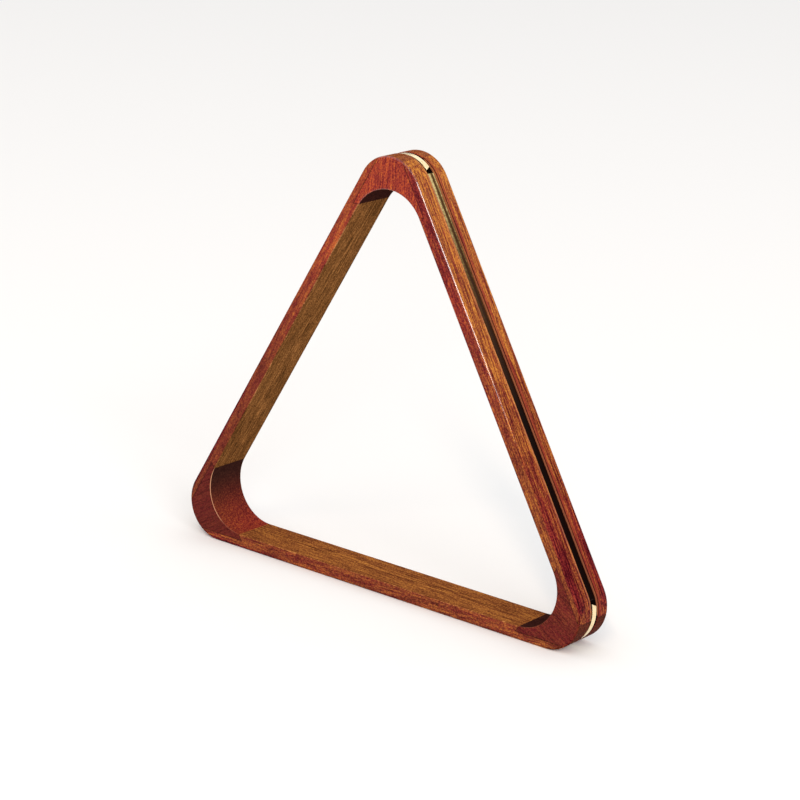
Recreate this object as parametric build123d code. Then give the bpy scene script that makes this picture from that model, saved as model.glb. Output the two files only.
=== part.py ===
from build123d import *
import math
import os

os.makedirs("parts", exist_ok=True)

# A wooden pool-ball rack. It is drawn lying flat, with the middle of the
# triangle at the origin and the front face up (+Z), and stood up at the end,
# on its bottom rail, with the front face towards -Y.

# Driving dimensions, in millimetres
ball_diameter = 57.15        # a standard pool ball, 2 1/4 in
balls_per_side = 5
ball_play = 0.7              # between the outermost balls and each rail
rack_depth = 31.0            # from the front face to the back face
rail_thickness = 9.0
outer_radius = 25.0          # outside of a corner
inner_radius = 28.2          # inside of a corner
outer_edge_round = 1.4       # along the outside of both faces
inner_edge_round = 0.8       # along the inside of both faces

# The half lap between a rail and a corner block
tongue_thickness = 5.2       # what a rail keeps, on its outer side, past its shoulder
shoulder_distance = 149.2    # from the middle of the triangle to a corner block's cut ends

# The groove around the outside, and what is set in it
groove_width = 7.2
groove_depth = 2.6
groove_offset = 1.6          # the groove's middle, towards the back face
groove_lip_round = 0.5
black_inlay_thickness = 1.1
black_inlay_overrun = 3.8    # past the end of the straight, at each end of a rail
black_inlay_edge_round = 0.35
brass_inlay_width = 4.2
brass_inlay_thickness = 2.2
brass_inlay_half_span = 43.4     # degrees each side of the corner's middle
brass_inlay_end_slant = 25.0     # degrees; the front edge is the longer one
brass_inlay_edge_round = 0.3
pin_radius = 0.8
pin_length = 9.0
pin_angle = 27.0             # degrees each side of the corner's middle

# Distances from the middle of the triangle that follow
ball_triangle_side = (balls_per_side - 1) * ball_diameter
inside_flat = ball_triangle_side / (2 * math.sqrt(3)) + ball_diameter / 2 + ball_play
outside_flat = inside_flat + rail_thickness
step_flat = outside_flat - tongue_thickness
groove_flat = outside_flat - groove_depth
corner_centre = 2 * (outside_flat - outer_radius)
half_straight = (outside_flat - outer_radius) * math.sqrt(3)
groove_level = -groove_offset
reach = 2 * outside_flat     # further out than any corner

# The corners and the rails, by how far each is turned from the top and the bottom
corner_turns = {"top": 0, "left": 120, "right": 240}
rail_turns = {"bottom": 0, "right": 120, "left": 240}


def rounded_triangle(flat_distance, corner_radius):
    """A triangle that points along +Y, from the middle to each side flat_distance."""
    triangle = RegularPolygon(flat_distance, 3, major_radius=False, rotation=90)
    return fillet(triangle.vertices(), corner_radius)


def land(low, high, low_round, high_round):
    """One slab of the full outline, with its two outer edges rounded."""
    slab = Pos(0, 0, low) * extrude(rounded_triangle(outside_flat, outer_radius), high - low)
    slab = fillet(slab.faces().sort_by(Axis.Z)[-1].edges(), high_round)
    return fillet(slab.faces().sort_by(Axis.Z)[0].edges(), low_round)


def whole_frame():
    """All six pieces of wood as one body, with the groove and the hole for the balls."""
    half_depth = rack_depth / 2
    groove_top = groove_level + groove_width / 2
    groove_bottom = groove_level - groove_width / 2
    front_land = land(groove_top, half_depth, groove_lip_round, outer_edge_round)
    back_land = land(-half_depth, groove_bottom, outer_edge_round, groove_lip_round)
    core_outline = rounded_triangle(groove_flat, outer_radius - groove_depth)
    core = extrude(core_outline, half_depth - outer_edge_round, both=True)
    hole = extrude(rounded_triangle(inside_flat, inner_radius), rack_depth, both=True)
    frame = front_land + core + back_land - hole
    faces = frame.faces().sort_by(Axis.Z)
    inside_edges = [edge for face in (faces[0], faces[-1]) for edge in face.inner_wires()[0].edges()]
    return fillet(inside_edges, inner_edge_round)


def corner_region():
    """What the top corner block may fill: inside the rails' steps, above its cut ends."""
    tip = 2 * step_flat
    half_width = (tip - shoulder_distance) * math.tan(math.radians(30))
    outline = Polygon((-half_width, shoulder_distance), (half_width, shoulder_distance), (0, tip), align=None)
    return extrude(outline, rack_depth, both=True)


def pin_places():
    """The two pins of the top corner, each pointing outwards from the corner's centre."""
    inner_end = outer_radius - groove_depth + brass_inlay_thickness - pin_length
    for angle in (90 - pin_angle, 90 + pin_angle):
        outwards = Rot(0, 0, angle) * Pos(inner_end, 0, 0) * Rot(0, 90, 0)
        yield Pos(0, corner_centre, groove_level) * outwards


def make_pins():
    """The top corner's pins, longer than needed, so that they end flush with the brass."""
    overlong = Cylinder(pin_radius, pin_length + 1, align=(Align.CENTER, Align.CENTER, Align.MIN))
    cover = Pos(0, corner_centre, groove_level) * Cylinder(brass_outer_radius(), rack_depth)
    return [(place * overlong) & cover for place in pin_places()]


def brass_outer_radius():
    return outer_radius - groove_depth + brass_inlay_thickness


def make_brass_inlay():
    """The top corner's strip of brass, bent around the floor of the groove, with slanted ends."""
    floor_radius = outer_radius - groove_depth
    strip = Cylinder(brass_outer_radius(), brass_inlay_width) - Cylinder(floor_radius, brass_inlay_width)
    for side in (-1, 1):
        end = Rot(0, 0, -side * brass_inlay_half_span) * Pos(0, floor_radius, 0)
        beyond = Pos(side * reach / 2, 0, 0) * Box(reach, reach, rack_depth)
        strip = strip - end * Rot(0, side * brass_inlay_end_slant, 0) * beyond
    outer_face = strip.faces().filter_by(GeomType.CYLINDER).sort_by(Axis.Y)[-1]
    strip = fillet(outer_face.edges(), brass_inlay_edge_round)
    return Pos(0, corner_centre, groove_level) * strip


def make_black_inlay():
    """The bottom rail's straight strip, lying on the floor of the groove."""
    length = 2 * (half_straight + black_inlay_overrun)
    strip = Box(length, black_inlay_thickness, groove_width)
    strip = fillet(strip.faces().sort_by(Axis.Y)[0].edges(), black_inlay_edge_round)
    return Pos(0, -groove_flat - black_inlay_thickness / 2, groove_level) * strip


def turned(shape, degrees):
    return Rot(0, 0, degrees) * shape


def stood_up(shape):
    """From lying on its back to standing on the bottom rail, front face to -Y."""
    return Pos(0, 0, outside_flat) * Rot(90, 0, 0) * shape


def outermost(solids, turn):
    """The solid that lies furthest out on the side of the bottom rail turned by turn."""
    direction = Vector(0, -1, 0).rotate(Axis.Z, turn)
    return max(solids, key=lambda solid: solid.center().dot(direction))


def export(shape, node):
    export_step(stood_up(shape), f"parts/{node}.step")


frame = whole_frame()
regions = {name: turned(corner_region(), turn) for name, turn in corner_turns.items()}
pins = {name: [turned(pin, turn) for pin in make_pins()] for name, turn in corner_turns.items()}

rails = frame
for region in regions.values():
    rails = rails - region

for name, turn in rail_turns.items():
    export(outermost(rails.solids(), turn), f"{name}_rail")
    export(turned(make_black_inlay(), turn), f"{name}_black_inlay")

for name, turn in corner_turns.items():
    block = frame & regions[name]
    brass = turned(make_brass_inlay(), turn)
    for pin in pins[name]:
        block = block - pin
        brass = brass - pin
    export(block, f"{name}_corner_block")
    export(brass, f"{name}_brass_inlay")

export(Compound([pin.solid() for group in pins.values() for pin in group]), "brass_pins")
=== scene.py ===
import math

import bpy
from mathutils import Matrix, Quaternion, Vector


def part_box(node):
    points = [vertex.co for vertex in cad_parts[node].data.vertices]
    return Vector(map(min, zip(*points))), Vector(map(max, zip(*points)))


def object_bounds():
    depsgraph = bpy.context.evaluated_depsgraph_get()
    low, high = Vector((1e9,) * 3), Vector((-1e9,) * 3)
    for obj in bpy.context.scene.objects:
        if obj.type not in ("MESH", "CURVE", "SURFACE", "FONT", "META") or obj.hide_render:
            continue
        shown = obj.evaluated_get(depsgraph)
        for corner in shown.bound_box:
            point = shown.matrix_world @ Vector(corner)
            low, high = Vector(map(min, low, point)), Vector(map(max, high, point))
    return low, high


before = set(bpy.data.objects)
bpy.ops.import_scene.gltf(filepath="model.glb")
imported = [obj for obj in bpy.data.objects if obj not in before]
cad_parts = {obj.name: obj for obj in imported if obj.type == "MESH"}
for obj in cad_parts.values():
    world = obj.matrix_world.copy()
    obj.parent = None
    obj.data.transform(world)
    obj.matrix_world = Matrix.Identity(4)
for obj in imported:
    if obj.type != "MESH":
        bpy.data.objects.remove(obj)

cad_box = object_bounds()

# --------------------------------------------------------------------------
# Sizes worked out from the frame: the box in metres, the rest in millimetres
# --------------------------------------------------------------------------
MM = 0.001
low, high = cad_box
root3 = math.sqrt(3)
half_depth = high.y / MM
# A rounded triangle whose sides lie f from its middle and whose corners have
# radius r is 3f - r high and 2(root3 (f - r) + r) wide.
rack_height = (high.z - low.z) / MM
outside_flat = ((root3 - 1) * rack_height - high.x / MM) / (2 * root3 - 3)
corner_radius = 3 * outside_flat - rack_height
corner_centre = 2 * (outside_flat - corner_radius)
middle = Vector((0, 0, outside_flat * MM))
step_flat = outside_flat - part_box("left_corner_block")[0].z / MM
shoulder_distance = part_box("top_corner_block")[0].z / MM - outside_flat
half_straight = (outside_flat - corner_radius) * root3
groove_low, groove_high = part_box("bottom_black_inlay")
groove_middle = (groove_low.y + groove_high.y) / 2 / MM
groove_half_width = (groove_high.y - groove_low.y) / 2 / MM

# How far each piece is turned, seen from the front, from the bottom rail or the top corner
RAIL_TURNS = {"bottom": 0, "right": 120, "left": 240}
CORNER_TURNS = {"top": 0, "left": 120, "right": 240}


# --------------------------------------------------------------------------
# Building materials from nodes
# --------------------------------------------------------------------------
def fill_ramp(elements, stops):
    """Puts places and colours into a colour ramp, which has two elements to begin with."""
    for place, _ in stops[2:]:
        elements.new(place)
    for element, (place, colour) in zip(elements, stops):
        element.position = place
        element.color = (*colour, 1)


class Shader:
    """A material, and short ways to add nodes. Inputs may be numbers, colours or other sockets."""

    def __init__(self, name):
        self.material = bpy.data.materials.new(name)
        self.material.use_nodes = True
        self.tree = self.material.node_tree
        self.surface = self.tree.nodes["Principled BSDF"]

    def put(self, socket, value):
        if isinstance(value, bpy.types.NodeSocket):
            self.tree.links.new(value, socket)
        elif socket.type == "RGBA":
            socket.default_value = (*value, 1)
        else:
            socket.default_value = value

    def node(self, kind, inputs, **settings):
        made = self.tree.nodes.new("ShaderNode" + kind)
        for key, value in settings.items():
            setattr(made, key, value)
        for key, value in inputs.items():
            self.put(made.inputs[key], value)
        return made

    def math(self, operation, a, b=0.0):
        return self.node("Math", {0: a, 1: b}, operation=operation).outputs[0]

    def total(self, *values):
        result = values[0]
        for value in values[1:]:
            result = self.math("ADD", result, value)
        return result

    def product(self, *values):
        result = values[0]
        for value in values[1:]:
            result = self.math("MULTIPLY", result, value)
        return result

    def less(self, a, b):
        return self.math("SUBTRACT", a, b)

    def size(self, value):
        return self.math("ABSOLUTE", value)

    def distance(self, a, b):
        return self.math("SQRT", self.total(self.math("POWER", a, 2.0), self.math("POWER", b, 2.0)))

    def step(self, value, start, end, low=0.0, high=1.0, smooth="SMOOTHSTEP"):
        """Runs from low to high as value goes from start to end."""
        inputs = {"Value": value, "From Min": start, "From Max": end, "To Min": low, "To Max": high}
        return self.node("MapRange", inputs, interpolation_type=smooth).outputs[0]

    def line(self, value, start, end, low, high):
        return self.step(value, start, end, low, high, "LINEAR")

    def between(self, share, a, b):
        return self.total(a, self.product(share, self.less(b, a)))

    def noise(self, vector, scale, detail=3.0, roughness=0.5, distortion=0.0):
        inputs = {
            "Vector": vector, "Scale": scale, "Detail": detail,
            "Roughness": roughness, "Distortion": distortion,
        }
        return self.node("TexNoise", inputs).outputs["Fac"]

    def mapped(self, vector, scale=(1, 1, 1), move=(0, 0, 0), turn=(0, 0, 0)):
        inputs = {"Vector": vector, "Location": move, "Rotation": turn, "Scale": scale}
        return self.node("Mapping", inputs).outputs[0]

    def ramp(self, value, stops):
        made = self.node("ValToRGB", {"Fac": value})
        fill_ramp(made.color_ramp.elements, stops)
        return made.outputs["Color"]

    def mix(self, share, a, b):
        made = self.node("Mix", {}, data_type="RGBA")
        for index, value in ((0, share), (6, a), (7, b)):
            self.put(made.inputs[index], value)
        return made.outputs[2]

    def bump(self, height, depth):
        return self.node("Bump", {"Height": height, "Distance": depth}).outputs[0]

    def own(self, output, turn, scale=1.0, location=(0, 0, 0)):
        """A texture coordinate, turned back as if the piece were the bottom rail or the top corner."""
        inputs = {
            "Vector": self.node("TexCoord", {}).outputs[output], "Location": location,
            "Rotation": (0, math.radians(-turn), 0), "Scale": (scale, scale, scale),
        }
        return self.node("Mapping", inputs, vector_type="TEXTURE").outputs[0]

    def place(self, turn):
        """Where a point is, in millimetres from the rack's middle."""
        return self.own("Object", turn, MM, middle)

    def axes(self, vector):
        return self.node("SeparateXYZ", {0: vector}).outputs

    def finish(self, **surface):
        for key, value in surface.items():
            self.put(self.surface.inputs[key.replace("_", " ")], value)
        return self.material


# --------------------------------------------------------------------------
# Wood
# --------------------------------------------------------------------------
# Colours of stained wood, from its darkest to its lightest
MAROON = [
    (0.00, (0.035, 0.002, 0.004)),
    (0.35, (0.125, 0.010, 0.0135)),
    (0.65, (0.250, 0.031, 0.0200)),
    (1.00, (0.470, 0.084, 0.0220)),
]
TAN = [
    (0.00, (0.050, 0.009, 0.002)),
    (0.35, (0.160, 0.036, 0.0150)),
    (0.65, (0.290, 0.084, 0.0210)),
    (1.00, (0.560, 0.215, 0.0350)),
]
INNER = [
    (0.00, (0.050, 0.022, 0.006)),
    (0.50, (0.170, 0.068, 0.020)),
    (1.00, (0.380, 0.165, 0.050)),
]
HOLLOW = [
    (0.00, (0.012, 0.004, 0.004)),
    (0.50, (0.030, 0.010, 0.008)),
    (1.00, (0.060, 0.022, 0.015)),
]
DARK_LINE = (0.020, 0.003, 0.003)
BLACKENED = (0.004, 0.002, 0.002)
# Paler colour of the inner edges: partly wear, partly a painted highlight along them
WEAR_AND_HIGHLIGHT = (0.70, 0.36, 0.20)
# Pale for bands by the groove; on its back wall it is painted light
PALE = (0.68, 0.31, 0.14)
RED = (0.24, 0.028, 0.020)

# Where the tree's heart lies across the grain, and how far its rings sway, in millimetres
HEART_Y = 24.0
HEART_Z = -39.0
RING_SWAY = 16.0
# Noise squeezed along the grain, which draws it out: the squeeze, how far the noise is moved
# along, and its scale, detail, roughness and distortion
GRAIN_NOISE = {
    "streaks": (0.09, 0.0, 0.75, 3.0, 0.7, 0.4),
    "flecks": (0.35, 0.0, 1.25, 1.0, 0.6, 0.3),
    "clouds": (0.30, 0.0, 0.085, 2.0, 0.5, 0.0),
    "speckle": (0.55, 0.0, 1.5, 1.0, 0.5, 0.0),
    "lines": (0.03, 0.0, 1.1, 1.0, 0.5, 0.0),
    "tints": (0.40, 50.0, 1.1, 1.0, 0.5, 0.0),
}
# How much each noise can lighten or darken the wood, and the values between which it does so
LIGHT_FIGURE = {
    "rings": (0.06, 0.36, 0.64),
    "streaks": (0.15, 0.34, 0.66),
    "clouds": (0.04, 0.36, 0.64),
    "speckle": (0.19, 0.36, 0.64),
}
LIGHT_LINES = (0.20, 0.36, 0.64)
# How much each can turn it tan or maroon, likewise
TAN_FIGURE = {
    "clouds": (-0.12, 0.36, 0.64),
    "streaks": (0.18, 0.36, 0.66),
    "tints": (0.22, 0.36, 0.64),
}
TAN_LINES = (0.35, 0.36, 0.64)
PORE_DARKNESS = 0.15
# How strong the fine lines are elsewhere on a rail than on its outer face, and on a corner block
FRONT_LINES = 0.25
CORNER_LINES = 0.15
# The figure's contrast on a rail's inner face and in a corner's hollow
INNER_CONTRAST = 1.15
HOLLOW_CONTRAST = 0.9
# How far apart in the tree two pieces lie whose seeds differ by one
RAIL_SPACING = (217.0, 31.0, 17.0)
CORNER_SPACING = (171.0, 23.0, 41.0)
# Bands of other colours beside the groove, from start to end in mm behind its front or back wall,
# with the blur of their edges and their strength
PALE_LIP = (-1.6, -0.6, 0.3, 0.26)
# The band on the back wall is painted light, paling a wall that lies in shade
PAINTED_LIGHT_ON_WALL = (-0.2, 0.03, 0.03, 0.30)
RED_BAND = (-1.0, 2.8, 0.8, 0.60)
BACK_LIP_DARK_LINE = (0.06, 0.75, 0.10, 0.85)
# How much darker and more maroon a rail's outer face gets beside its edges
DARK_EDGE_LIGHT = -0.16
DARK_EDGE_TAN = -0.9
# A corner's hollow: how tan it is at its front and back edges, and about how far it reaches sideways
HOLLOW_TAN = (0.24, -0.02)
HOLLOW_HALF_WIDTH = 22.0
# How rough polished and matt wood are, and how deep the grain is, in metres
POLISHED_ROUGHNESS = 0.30
MATT_ROUGHNESS = 0.62
GRAIN_DEPTH = 0.00006
# How strong the varnish's coat is on flat wood, and at most on a rounded edge
FLAT_COAT = 0.06
EDGE_COAT = 0.7


def swing(shader, noise, amount, low, high):
    """From -amount to amount, as a noise goes from low to high."""
    return shader.step(noise, low, high, -amount, amount)


def swings(shader, noise, amounts):
    return shader.total(*(swing(shader, noise[name], *values) for name, values in amounts.items()))


def grain_noises(shader, grain):
    noise = {
        name: shader.noise(shader.mapped(grain, (squeeze, 1.0, 1.0), (moved, 0.0, 0.0)), *kind)
        for name, (squeeze, moved, *kind) in GRAIN_NOISE.items()
    }
    noise["rings"] = ring_bands(shader, grain)
    return noise


def ring_bands(shader, grain):
    """Growth rings around the tree's heart, which lies along X and sways a little."""
    x, y, z = shader.axes(grain)
    sway = shader.noise(shader.mapped(grain, (0.014, 0.05, 0.05)), 1.0, 2.0)
    from_heart = shader.distance(shader.less(y, HEART_Y), shader.less(z, HEART_Z))
    ring = shader.total(from_heart, shader.product(sway, RING_SWAY))
    rings = shader.node("CombineXYZ", {0: shader.product(x, 0.02), 1: ring}).outputs[0]
    return shader.noise(rings, 0.55, 3.0, 0.6)


def figure(shader, grain, contrast, lined):
    """How light the wood is, how tan it is, and its height. The grain runs along X, in mm."""
    noise = grain_noises(shader, grain)
    pores = shader.step(noise["flecks"], 0.40, 0.32)
    light_lines = shader.product(swing(shader, noise["lines"], *LIGHT_LINES), lined)
    light = shader.total(swings(shader, noise, LIGHT_FIGURE), light_lines)
    light = shader.less(light, shader.product(pores, PORE_DARKNESS))
    tan_lines = shader.product(swing(shader, noise["lines"], *TAN_LINES), lined)
    tan = shader.total(swings(shader, noise, TAN_FIGURE), tan_lines)
    height = shader.less(shader.product(noise["streaks"], 0.5), pores)
    return shader.product(light, contrast), shader.product(tan, contrast), height


def near_faces(shader, y, start, full):
    """0 further than start from the front and back faces, 1 nearer to one than full."""
    return shader.step(shader.size(y), half_depth - start, half_depth - full)


def edge_share(shader, facing, y):
    """1 on the rounded edges of the front and back faces, 0 on flat wood and in the groove."""
    leaning = shader.size(facing[1])
    return shader.product(
        shader.step(leaning, 0.12, 0.42), shader.step(leaning, 0.995, 0.93), near_faces(shader, y, 2.5, 1.7))


def outside_groove(shader, y):
    """How far in front of the groove or behind it a point is, less than 0 between its walls."""
    return shader.less(shader.size(shader.less(y, groove_middle)), groove_half_width)


def groove_share(shader, x_from_bend, y, height, shallow, deep):
    """1 in the groove at a depth of deep or more, 0 at less than shallow and everywhere outside it.

    The height is from the bend's centre.
    """
    depth = shader.less(corner_radius, shader.distance(x_from_bend, height))
    within = shader.step(outside_groove(shader, y), 0.30, 0.12)
    not_inside = shader.product(shader.step(depth, 6.0, 5.0), shader.step(height, -1.0, 0.0))
    return shader.product(within, shader.step(depth, shallow, deep), not_inside)


def groove_zone(shader, y):
    """1 between the groove's walls and on its rounded lips, 0 on the lands to each side."""
    return shader.step(outside_groove(shader, y), 0.5, 0.3)


def stripe(shader, value, start, end, blur):
    """1 where value lies between start and end, 0 elsewhere."""
    return shader.product(
        shader.step(value, start - blur, start + blur), shader.step(value, end + blur, end - blur))


def band(shader, y, wall, start, end, blur, strength):
    """As strong as that from start to end behind a wall of the groove, 0 elsewhere."""
    return shader.product(stripe(shader, y, wall + start, wall + end, blur), strength)


def colour_by_groove(shader, colour, y, outer):
    """Paler along the groove's front lip, painted light on its back wall, and dark and red by its back lip.
    """
    front_wall = groove_middle - groove_half_width
    back_wall = groove_middle + groove_half_width
    # A paler band along the front lip, and painted light on the back wall
    pale_lip_and_lit_wall = shader.total(band(shader, y, front_wall, *PALE_LIP), band(shader, y, back_wall, *PAINTED_LIGHT_ON_WALL))
    colour = shader.mix(shader.product(band(shader, y, back_wall, *RED_BAND), outer), colour, RED)
    colour = shader.mix(shader.product(pale_lip_and_lit_wall, outer), colour, PALE)
    return shader.mix(shader.product(band(shader, y, back_wall, *BACK_LIP_DARK_LINE), outer), colour, DARK_LINE)


def out_beside(shader, x, outwards):
    """How far out a point is towards the nearest corner from a rail, or the nearest rail from a corner."""
    return shader.total(shader.product(shader.size(x), root3 / 2), shader.product(outwards, 0.5))


def joint_share(shader, from_joint, facing):
    """Highest on the thin dark line of glue along a joint, as the front and back faces show it."""
    near_joint = shader.step(from_joint, 0.50, 0.10, 0.0, 0.7)
    return shader.product(near_joint, shader.step(shader.size(facing[1]), 0.8, 0.95))


def varnish(shader, colour, height, matt, edge, shine):
    """A stained and varnished surface, matt from 0 to 1, with edges as glossy as shine says."""
    roughness = shader.step(matt, 0.0, 1.0, POLISHED_ROUGHNESS, MATT_ROUGHNESS)
    roughness = shader.less(roughness, shader.product(height, 0.06))
    coat = shader.between(edge, FLAT_COAT, shader.product(shine, EDGE_COAT))
    coat = shader.product(shader.less(1.0, matt), coat)
    return shader.finish(
        Base_Color=colour, Roughness=roughness, Normal=shader.bump(height, GRAIN_DEPTH),
        Specular_IOR_Level=0.0, Coat_IOR=1.7, Coat_Roughness=0.07, Coat_Weight=coat,
    )


def along_rail(shader, x, outer, changes, front, whole):
    """Goes through the front pair from change to change, and on the outer face through the whole pair."""
    on_front = shader.step(x, *changes, *front)
    return shader.between(outer, on_front, shader.line(x, -half_straight, half_straight, *whole))


def dark_edge_share(shader, x, y, outwards, dark_edge):
    """1 on the outer face beside its two edges, past the place where these are darkest."""
    near_edge = near_faces(shader, y, 7.5, 3.5)
    on_outer_face = shader.step(outwards, outside_flat - 2.2, outside_flat - 1.0)
    return shader.product(near_edge, on_outer_face, shader.step(x, *dark_edge))


def rail_joint(shader, x, outwards):
    """How far a point of a rail is from the corner blocks, whose ends or sides it lies beside."""
    from_shoulder = shader.less(shoulder_distance, out_beside(shader, x, outwards))
    return shader.math("MAXIMUM", shader.less(outwards, step_flat), from_shoulder)


def rail_groove(shader, x, y, outwards):
    """1 on the floor of a rail's groove and on the lower part of its walls."""
    past_straight = shader.math("MAXIMUM", shader.less(shader.size(x), half_straight), 0.0)
    height_in_bend = shader.less(outwards, outside_flat - corner_radius)
    return groove_share(shader, past_straight, y, height_in_bend, 1.2, 2.0)


def rail_wood(name, seed, slant, contrast, changes, front_light, front_tan, outer_light, outer_tan,
              inner_light, inner_tan, dark_edge, shine):
    """One rail. In its own frame X runs along it, Y from front to back and Z to the rack's middle."""
    shader = Shader("stained_" + name + "_rail")
    turn = RAIL_TURNS[name]
    place = shader.place(turn)
    x, y, inwards = shader.axes(place)
    outwards = shader.product(inwards, -1.0)
    facing = shader.axes(shader.own("Normal", turn))
    outer = shader.math("MAXIMUM", shader.step(facing[2], -0.3, -0.9), groove_zone(shader, y))
    inner = shader.step(facing[2], 0.3, 0.8)
    move = tuple(seed * spacing for spacing in RAIL_SPACING)
    grain = shader.mapped(place, move=move, turn=(0.1, slant, slant))
    lined = shader.between(outer, FRONT_LINES, 1.0)
    light, tan, height = figure(shader, grain, shader.between(inner, contrast, INNER_CONTRAST), lined)

    # The colour changes along the rail, and is darker and redder beside parts of its outer edges
    inner_figure = shader.total(light, inner_light)
    dark = dark_edge_share(shader, x, y, outwards, dark_edge)
    light = shader.total(light, along_rail(shader, x, outer, changes, front_light, outer_light))
    light = shader.total(light, shader.product(dark, DARK_EDGE_LIGHT))
    tan = shader.total(tan, along_rail(shader, x, outer, changes, front_tan, outer_tan))
    tan = shader.total(tan, shader.product(dark, DARK_EDGE_TAN))
    colour = shader.mix(tan, shader.ramp(light, MAROON), shader.ramp(light, TAN))
    colour = colour_by_groove(shader, colour, y, outer)
    inner_colour = shader.mix(inner_tan, shader.ramp(inner_figure, INNER), shader.ramp(inner_figure, TAN))
    colour = shader.mix(inner, colour, inner_colour)

    edge = edge_share(shader, facing, y)
    # Inner edges paler where the wood is light: partly wear, partly a painted highlight
    wear_and_highlight = shader.product(edge, shader.step(facing[2], 0.1, 0.4), shader.step(light, 0.45, 0.8, 0.0, 0.15))
    colour = shader.mix(wear_and_highlight, colour, WEAR_AND_HIGHLIGHT)
    colour = shader.mix(joint_share(shader, rail_joint(shader, x, outwards), facing), colour, DARK_LINE)
    colour = shader.mix(rail_groove(shader, x, y, outwards), colour, BLACKENED)
    matt = shader.math("MAXIMUM", inner, groove_zone(shader, y))
    return varnish(shader, colour, height, matt, edge, shader.step(x, *shine))


def corner_joint(shader, x, outwards):
    """How far a point of a corner block is from its sides and its cut ends, which meet the rails."""
    from_sides = shader.less(step_flat, out_beside(shader, x, outwards))
    return shader.math("MINIMUM", from_sides, shader.less(outwards, shoulder_distance))


def corner_wood(name, seed, contrast, light, tan, outer_light, outer_tan, hollow_light, hollow_stain_and_shade, wear_and_highlight,
                shine):
    """One corner block. In its own frame Z runs outwards along the middle of the corner."""
    shader = Shader("stained_" + name + "_corner")
    turn = CORNER_TURNS[name]
    place = shader.place(turn)
    x, y, outwards = shader.axes(place)
    facing = shader.axes(shader.own("Normal", turn))
    move = tuple(seed * spacing for spacing in CORNER_SPACING)
    grain = shader.mapped(place, move=move, turn=(0.0, math.radians(90), 0.0))
    beside_faces = shader.step(shader.size(facing[1]), 0.6, 0.2)
    outer = shader.product(beside_faces, shader.step(facing[2], 0.0, 0.3))
    hollow = shader.product(beside_faces, shader.step(facing[2], 0.0, -0.3))
    contrast = shader.between(hollow, contrast, HOLLOW_CONTRAST)
    figure_light, figure_tan, height = figure(shader, grain, contrast, CORNER_LINES)

    light = shader.between(hollow, shader.line(outer, 0.0, 1.0, light, outer_light), hollow_light)
    light = shader.total(light, figure_light)
    hollow_tan = shader.step(y, -half_depth, half_depth, *HOLLOW_TAN)
    tan = shader.between(hollow, shader.line(outer, 0.0, 1.0, tan, outer_tan), hollow_tan)
    tan = shader.total(tan, shader.product(figure_tan, shader.between(hollow, 1.0, 0.5)))
    colour = shader.mix(tan, shader.ramp(light, MAROON), shader.ramp(light, TAN))

    # The hollow is darker: soaked-up stain, and painted shade that changes from end to end
    dark = shader.step(x, -HOLLOW_HALF_WIDTH, HOLLOW_HALF_WIDTH, *hollow_stain_and_shade)
    colour = shader.mix(shader.product(hollow, dark), colour, shader.ramp(light, HOLLOW))
    edge = edge_share(shader, facing, y)
    # Its inner edges are paler, partly wear and partly a painted highlight, less so towards one end
    wear_and_highlight = shader.product(
        stripe(shader, facing[2], -0.80, -0.48, 0.12), edge, shader.step(x, -14.0, -5.0, 0.15, 1.0), wear_and_highlight)
    colour = shader.mix(wear_and_highlight, colour, WEAR_AND_HIGHLIGHT)
    colour = shader.mix(joint_share(shader, corner_joint(shader, x, outwards), facing), colour, DARK_LINE)
    deep = groove_share(shader, x, y, shader.less(outwards, corner_centre), 0.0, 1.0)
    colour = shader.mix(deep, colour, BLACKENED)
    matt = shader.math("MAXIMUM", hollow, deep)
    return varnish(shader, colour, height, matt, edge, shine)


# --------------------------------------------------------------------------
# Brass and black
# --------------------------------------------------------------------------
# How pale each rail's black gets at most, from dust and a painted reflection
MOST_DUST_AND_REFLECTION = {"bottom": 0.3, "right": 1.25, "left": 0.3}
# Black, from clean to pale with dust and a painted reflection
DUST_AND_REFLECTION_RAMP = [
    (0.00, (0.004, 0.001, 0.001)),
    (0.35, (0.028, 0.009, 0.003)),
    (0.62, (0.072, 0.038, 0.011)),
    (0.85, (0.250, 0.180, 0.070)),
    (1.00, (0.500, 0.400, 0.180)),
]


def brass():
    """Polished pale brass, with fine scratches and a little tarnish."""
    shader = Shader("polished_brass")
    place = shader.place(0)
    scratches = shader.noise(shader.mapped(place, (0.15, 9.0, 0.15)), 1.0, 4.0, 0.7)
    tarnish = shader.noise(place, 0.35, 4.0, 0.6)
    colour = shader.mix(shader.step(tarnish, 0.48, 0.75), (0.96, 0.79, 0.49), (0.76, 0.55, 0.25))
    roughness = shader.total(shader.step(tarnish, 0.35, 0.8, 0.14, 0.34), shader.product(scratches, 0.12))
    return shader.finish(
        Base_Color=colour, Metallic=1.0, Roughness=roughness, Normal=shader.bump(scratches, 0.00002),
    )


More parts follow.
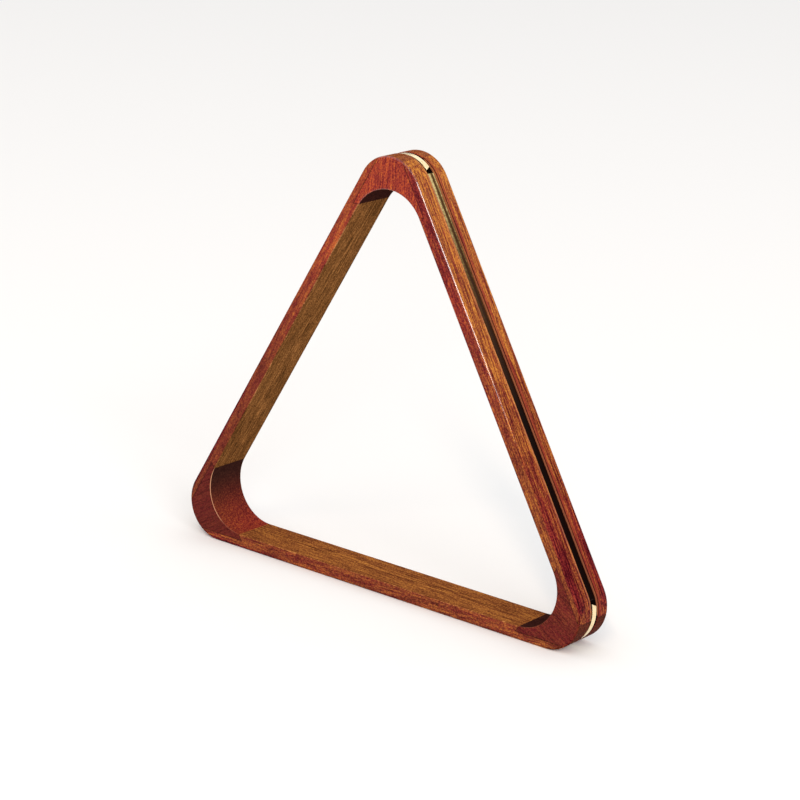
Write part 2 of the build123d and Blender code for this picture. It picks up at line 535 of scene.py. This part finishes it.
def black_gloss(name, most_dust_and_reflection):
    """Polished black, with faint lengthwise marks, paler towards one end: dust and a painted reflection.

    A line along the middle is less pale.
    """
    shader = Shader("black_gloss_" + name)
    place = shader.place(RAIL_TURNS[name])
    along, across, _ = shader.axes(place)
    marks = shader.noise(shader.mapped(place, (0.012, 2.2, 1.0)), 1.0, 3.0, 0.6)
    # Paleness from dust and a painted reflection, growing along the rail towards one end
    dust_and_reflection = shader.step(shader.noise(place, 0.9, 4.0, 0.7), 0.35, 0.70, 0.7, 1.0)
    dust_and_reflection = shader.product(dust_and_reflection, shader.line(along, -20.0, half_straight, 0.0, most_dust_and_reflection))
    less_pale_line = stripe(shader, across, groove_middle + 0.1, groove_middle + 2.3, 0.7)
    colour = shader.ramp(shader.product(dust_and_reflection, shader.between(less_pale_line, 1.0, 0.55)), DUST_AND_REFLECTION_RAMP)
    roughness = shader.total(shader.product(dust_and_reflection, 0.30), shader.product(marks, 0.12), 0.06)
    return shader.finish(
        Base_Color=colour, Roughness=roughness, Normal=shader.bump(marks, 0.00003),
        Specular_IOR_Level=0.12, Specular_Tint=(1.0, 0.60, 0.30),
    )


def dress(node, material):
    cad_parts[node].material_slots[0].material = material


# How each rail looks. "light" goes from dark at 0 to light at 1, and "tan" from maroon at 0 to
# tan at 1. A pair of either holds its values at the two ends of the rail on the outer face, and
# before and after "changes", two distances along the rail in mm, on the front and back faces.
# "dark_edge" and "shine" hold where along it the outer face starts to darken beside its edges,
# and the rounded edges to shine, and where they have done so in full. "slant" is the grain's.
RAILS = {
    "bottom": {
        "seed": 3.1, "slant": 0.01, "contrast": 1.0, "changes": (-110.0, 110.0),
        "front_light": (0.45, 0.44), "front_tan": (0.62, 0.72),
        "outer_light": (0.45, 0.55), "outer_tan": (0.4, 0.8),
        "inner_light": 0.55, "inner_tan": 0.62,
        "dark_edge": (-60.0, -120.0), "shine": (200.0, 250.0),
    },
    "right": {
        "seed": 7.7, "slant": -0.02, "contrast": 1.0, "changes": (-110.0, 110.0),
        "front_light": (0.48, 0.49), "front_tan": (0.90, -0.05),
        # The outer face grows lighter and tanner towards the top: partly the wood, partly a painted warm
        # reflection
        "outer_light": (0.40, 0.70), "outer_tan": (0.32, 1.00),
        "inner_light": 0.55, "inner_tan": 0.4,
        "dark_edge": (-50.0, -125.0), "shine": (-50.0, 60.0),
    },
    "left": {
        "seed": 12.3, "slant": 0.03, "contrast": 0.75, "changes": (-80.0, 40.0),
        "front_light": (0.63, 0.35), "front_tan": (0.30, 0.60),
        "outer_light": (0.6, 0.45), "outer_tan": (0.9, 0.4),
        "inner_light": 0.46, "inner_tan": 0.0,
        "dark_edge": (0.0, 90.0), "shine": (200.0, 250.0),
    },
}
# How each corner block looks. "light" and "tan" are the front and back faces'. After the hollow's lightness
# come how dark the hollow is at its two ends, which is soaked-up stain and painted shade, and how pale its
# inner edges are, which is wear and a painted highlight.
CORNERS = {
    "top": {
        "seed": 2.3, "contrast": 1.0, "light": 0.68, "tan": -0.20, "outer_light": 0.54, "outer_tan": 0.9,
        "hollow_light": 0.45, "hollow_stain_and_shade": (0.97, 0.9), "wear_and_highlight": 0.1, "shine": 1.0,
    },
    # The left block's hollow lightens towards one end: painted light where it faces up towards the lamps.
    "left": {
        "seed": 5.9, "contrast": 0.45, "light": 0.22, "tan": 0.35, "outer_light": 0.35, "outer_tan": 0.4,
        # Its pale inner edges are partly wear and partly a painted highlight.
        "hollow_light": 0.565, "hollow_stain_and_shade": (0.06, 1.0), "wear_and_highlight": 0.75, "shine": 0.0,
    },
    "right": {
        "seed": 9.4, "contrast": 0.7, "light": 0.26, "tan": 0.35, "outer_light": 0.08, "outer_tan": 0.8,
        "hollow_light": 0.45, "hollow_stain_and_shade": (0.8, 0.97), "wear_and_highlight": 0.1, "shine": 0.0,
    },
}


def dress_rack():
    for name, looks in RAILS.items():
        dress(name + "_rail", rail_wood(name, **looks))
        dress(name + "_black_inlay", black_gloss(name, MOST_DUST_AND_REFLECTION[name]))
    metal = brass()
    for name, looks in CORNERS.items():
        dress(name + "_corner_block", corner_wood(name, **looks))
        dress(name + "_brass_inlay", metal)
    dress("brass_pins", metal)


# --------------------------------------------------------------------------
# Floor, light and camera, in metres and degrees
# --------------------------------------------------------------------------
FLOOR_RADIUS = 12.0
FLOOR_GAP = 0.0002
ROOM_LIGHT = 0.84
BACKDROP = 0.93
# What glossy things see, by the sine of its elevation: the horizon and below at 0, straight up at 1
MIRRORED_STRENGTH = 2.0
MIRRORED_SHADES = [
    (0.00, 0.30), (0.20, 0.30), (0.27, 0.03), (0.31, 0.03), (0.345, 0.20), (0.375, 0.45),
    (0.41, 0.80), (0.55, 0.60), (1.0, 0.45),
]
CAMERA_AZIMUTH = 38.17
CAMERA_ELEVATION = 17.0
CAMERA_ROLL = 2.45
CAMERA_DISTANCE = 1.7045
# From the middle of the rack's box to the point that the camera looks at
AIM_OFFSET = Vector((0.0037, 0, -0.0161))


def floor():
    """A round, plain, pale floor, just under the rack."""
    bpy.ops.mesh.primitive_circle_add(
        vertices=96, radius=FLOOR_RADIUS, fill_type="NGON", location=(0, 0, low.z - FLOOR_GAP))
    ground = bpy.context.object
    ground.name = "floor"
    shader = Shader("pale_floor")
    paint = shader.finish(Base_Color=(0.90, 0.90, 0.90), Roughness=0.8, Specular_IOR_Level=0.0)
    ground.data.materials.append(paint)


def direction(azimuth, elevation):
    """From the rack towards a place at that azimuth, measured from the front, and elevation."""
    a, e = math.radians(azimuth), math.radians(elevation)
    return Vector((math.sin(a) * math.cos(e), -math.cos(a) * math.cos(e), math.sin(e)))


def facing_rack(towards, up=Vector((0, 0, 1))):
    """The turn of a lamp or camera that stands towards there and looks at the rack."""
    right = up.cross(towards).normalized()
    return Matrix((right, towards.cross(right), towards)).transposed().to_quaternion()


def add(name, data, location, turn):
    holder = bpy.data.objects.new(name, data)
    bpy.context.scene.collection.objects.link(holder)
    holder.location = location
    holder.rotation_mode = "QUATERNION"
    holder.rotation_quaternion = turn
    return holder


def softbox(name, towards, distance, width, height, radiance, up, colour):
    lamp = bpy.data.lights.new(name, "AREA")
    lamp.color = colour
    lamp.shape = "RECTANGLE"
    lamp.size = width
    lamp.size_y = height
    lamp.energy = radiance * math.pi * width * height
    add(name, lamp, middle + towards * distance, facing_rack(towards, up))


def room():
    """An even pale room. Glossy things see a dark band in it, low down, and brightness above."""
    world = bpy.data.worlds.new("room")
    bpy.context.scene.world = world
    world.use_nodes = True
    nodes, links = world.node_tree.nodes, world.node_tree.links
    even = nodes["Background"]
    even.inputs["Color"].default_value = (1.0, 1.0, 1.0, 1)
    even.inputs["Strength"].default_value = ROOM_LIGHT
    height = nodes.new("ShaderNodeSeparateXYZ")
    links.new(nodes.new("ShaderNodeTexCoord").outputs["Generated"], height.inputs[0])
    ramp = nodes.new("ShaderNodeValToRGB")
    links.new(height.outputs["Z"], ramp.inputs["Fac"])
    fill_ramp(ramp.color_ramp.elements, [(place, (shade,) * 3) for place, shade in MIRRORED_SHADES])
    mirrored = nodes.new("ShaderNodeBackground")
    mirrored.inputs["Strength"].default_value = MIRRORED_STRENGTH
    links.new(ramp.outputs["Color"], mirrored.inputs["Color"])
    seen = nodes.new("ShaderNodeBackground")
    seen.inputs["Color"].default_value = (BACKDROP, BACKDROP, BACKDROP, 1)
    path = nodes.new("ShaderNodeLightPath")
    by_gloss = nodes.new("ShaderNodeMixShader")
    links.new(path.outputs["Is Glossy Ray"], by_gloss.inputs[0])
    links.new(even.outputs[0], by_gloss.inputs[1])
    links.new(mirrored.outputs[0], by_gloss.inputs[2])
    by_camera = nodes.new("ShaderNodeMixShader")
    links.new(path.outputs["Is Camera Ray"], by_camera.inputs[0])
    links.new(by_gloss.outputs[0], by_camera.inputs[1])
    links.new(seen.outputs[0], by_camera.inputs[2])
    links.new(by_camera.outputs[0], nodes["World Output"].inputs[0])


def studio():
    """A wide softbox turned with the right rail, to light its edge, and a narrow warm one above it."""
    right_rail_runs = Vector((-0.5, 0, root3 / 2))
    softbox(
        "key", direction(50, 28.5), distance=6.0, width=4.2, height=0.84, radiance=15.0,
        up=right_rail_runs, colour=(1.0, 1.0, 1.0))
    softbox(
        "upper", direction(27, 44), distance=6.0, width=0.5, height=3.6, radiance=16.0,
        up=Vector((-0.6, 0, 0.8)), colour=(1.0, 0.80, 0.62))


def camera():
    """A long lens from the right and a little above, held slightly out of level."""
    lens = bpy.data.cameras.new("camera")
    lens.sensor_width = 36.0
    lens.lens = 120.0
    aim = (low + high) / 2 + AIM_OFFSET
    towards = direction(CAMERA_AZIMUTH, CAMERA_ELEVATION)
    roll = Quaternion((0, 0, 1), math.radians(CAMERA_ROLL))
    place = aim + towards * CAMERA_DISTANCE
    bpy.context.scene.camera = add("camera", lens, place, facing_rack(towards) @ roll)


dress_rack()
floor()
room()
studio()
camera()
bpy.context.scene.view_settings.view_transform = "Standard"
